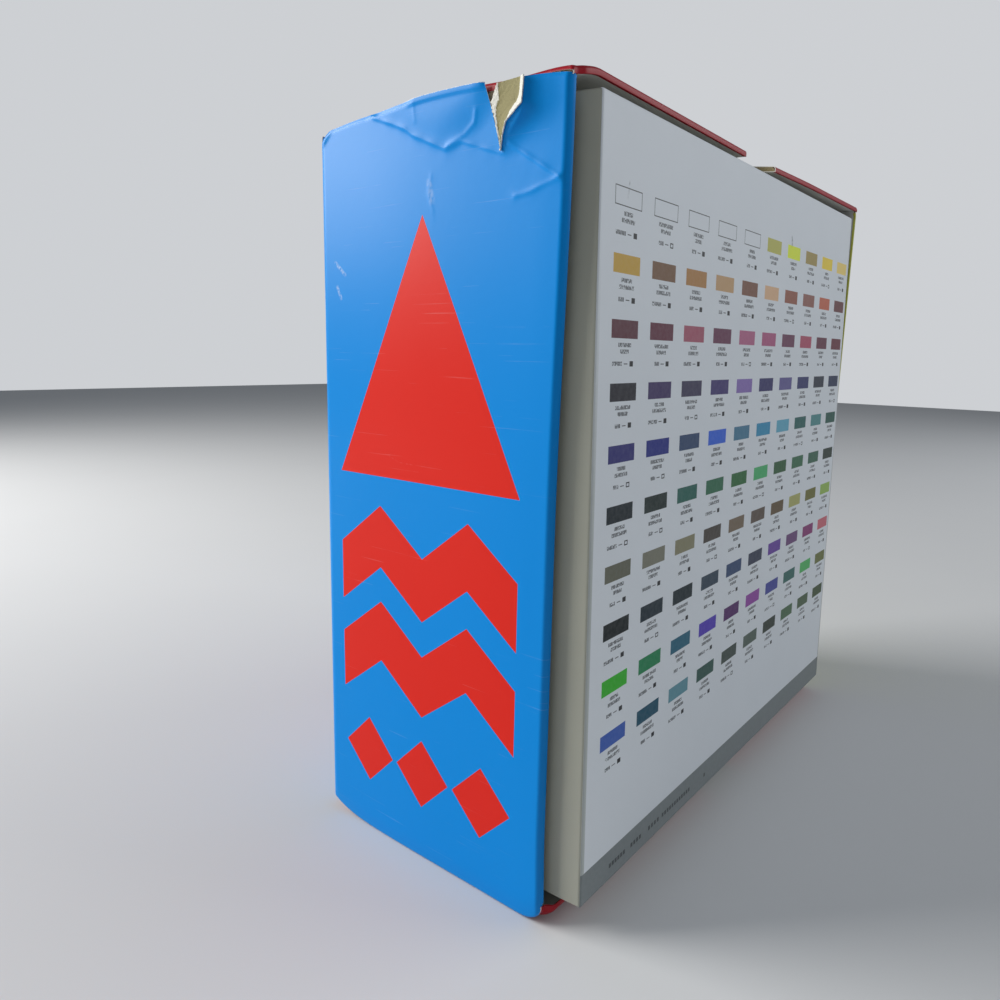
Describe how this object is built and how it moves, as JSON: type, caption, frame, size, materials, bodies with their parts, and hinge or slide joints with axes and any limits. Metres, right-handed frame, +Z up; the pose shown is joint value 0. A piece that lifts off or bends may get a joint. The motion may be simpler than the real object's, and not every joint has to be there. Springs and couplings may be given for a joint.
{
  "type": "telescoping card paint box",
  "caption": "Telescoping card box standing on one long wall: a lid over a base with a colour chart on its bottom, with stacked trays of screw-capped paint tubes inside.",
  "frame": {"origin": "on the surface that the box stands on, under the middle of its bounding box", "axes": "+X along the box from its blue end wall to its yellow-green one, +Y from the chart on the base's bottom to the closed face of the lid, which is also the way the lid pulls off, +Z up"},
  "size_m": [0.235, 0.1088, 0.2427],
  "materials": {
    "grey_board": "bare grey board",
    "lining_paper": "white paper, uncoated",
    "stay_tape": "brown gummed paper",
    "face_print": "printed paper, thin gloss film",
    "red_print": "printed paper, thin gloss film",
    "blue_print": "printed paper, thin gloss film",
    "yellow_green_print": "printed paper, thin gloss film",
    "white_board": "white lined board",
    "white_paper": "white paper, uncoated",
    "chart_print": "printed paper, matt",
    "tray_card": "white card",
    "tube_plastic": "white laminated plastic",
    "cap_plastic": "black moulded plastic"
  },
  "bodies": {
    "base": {"base_bottom_board": "white_board", "base_upper_board": "white_board", "base_lower_board": "white_board", "base_left_board": "white_board", "base_right_board": "white_board", "base_corner_stays": "stay_tape", "base_chart": "chart_print", "base_left_wrap": "white_paper", "base_right_wrap": "white_paper", "base_upper_wrap": "white_paper", "base_lower_wrap": "white_paper"},
    "lid": {"lid_face_board": "grey_board", "lid_upper_board": "grey_board", "lid_lower_board": "grey_board", "lid_left_board": "grey_board", "lid_right_board": "grey_board", "lid_liner": "lining_paper", "lid_corner_stays": "stay_tape", "lid_face_wrap": "face_print", "lid_upper_wrap": "red_print", "lid_lower_wrap": "red_print", "lid_left_wrap": "blue_print", "lid_right_wrap": "yellow_green_print"},
    "tray_1": {"tray_1_floor": "tray_card", "tray_1_strips": "tray_card", "tray_1_tubes": "tube_plastic", "tray_1_caps": "cap_plastic"},
    "tray_2": {"tray_2_floor": "tray_card", "tray_2_strips": "tray_card", "tray_2_tubes": "tube_plastic", "tray_2_caps": "cap_plastic"},
    "tray_3": {"tray_3_floor": "tray_card", "tray_3_strips": "tray_card", "tray_3_tubes": "tube_plastic", "tray_3_caps": "cap_plastic"},
    "tray_4": {"tray_4_floor": "tray_card", "tray_4_strips": "tray_card", "tray_4_tubes": "tube_plastic", "tray_4_caps": "cap_plastic"},
    "tray_5": {"tray_5_floor": "tray_card", "tray_5_strips": "tray_card", "tray_5_tubes": "tube_plastic", "tray_5_caps": "cap_plastic"},
    "cap": {"turning_cap": "cap_plastic"}
  },
  "joints": [
    {"name": "tray_1_lift", "type": "slide", "parent": "base", "child": "tray_1", "axis": [0, 1, 0], "range_m": [0, 0.098]},
    {"name": "tray_2_lift", "type": "slide", "parent": "tray_1", "child": "tray_2", "axis": [0, 1, 0], "range_m": [0, 0.079]},
    {"name": "tray_3_lift", "type": "slide", "parent": "tray_2", "child": "tray_3", "axis": [0, 1, 0], "range_m": [0, 0.06]},
    {"name": "tray_4_lift", "type": "slide", "parent": "tray_3", "child": "tray_4", "axis": [0, 1, 0], "range_m": [0, 0.041]},
    {"name": "tray_5_lift", "type": "slide", "parent": "tray_4", "child": "tray_5", "axis": [0, 1, 0], "range_m": [0, 0.022]},
    {"name": "lid_lift", "type": "slide", "parent": "tray_5", "child": "lid", "axis": [0, 1, 0], "range_m": [0, 0.106]},
    {"name": "cap_turn", "type": "hinge", "parent": "tray_5", "child": "cap", "pos_m": [-0.09742, 0.04241, 0.1115], "axis": [0, 0, 1], "range_deg": [0, 540]}
  ]
}
